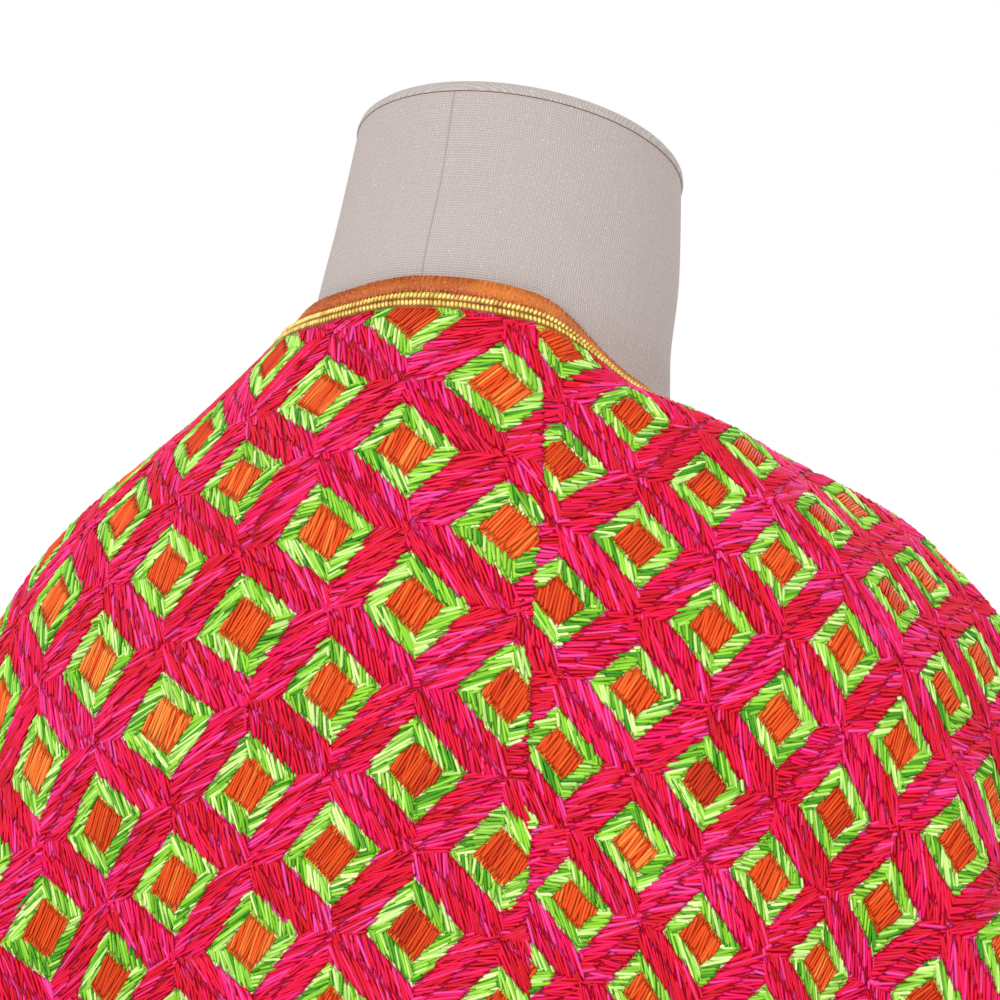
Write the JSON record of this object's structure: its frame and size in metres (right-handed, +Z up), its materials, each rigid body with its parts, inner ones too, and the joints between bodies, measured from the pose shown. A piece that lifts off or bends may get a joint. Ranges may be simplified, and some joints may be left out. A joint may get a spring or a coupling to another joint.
{
  "type": "phulkari shawl on a dress form",
  "caption": "Embroidered shawl with a diamond lattice, gold braid and copper edging, draped over the shoulders of a limbless linen dress form on a pole and round foot.",
  "frame": {"origin": "middle of the foot's underside, on the floor", "axes": "+Z up the pole, -Y the way the form faces, +X to the form's left"},
  "size_m": [0.7338, 0.4419, 1.4891],
  "materials": {
    "field": "satin silk thread on cotton",
    "gold_braid": "metallic thread braid",
    "copper_thread": "cut thread edging",
    "linen": "matte plain weave",
    "base_board": "matte",
    "stand_metal": "satin black"
  },
  "bodies": {
    "root": {"braid_end_left": "gold_braid", "braid_end_right": "gold_braid", "braid_hem": "gold_braid", "braid_neck": "gold_braid", "edging_end_left": "copper_thread", "edging_end_right": "copper_thread", "edging_hem": "copper_thread", "edging_neck": "copper_thread", "form_base_cap": "base_board", "form_neck_cap": "linen", "form_torso": "linen", "shawl_panel": "field", "stand_foot": "stand_metal", "stand_pole": "stand_metal"}
  },
  "joints": []
}
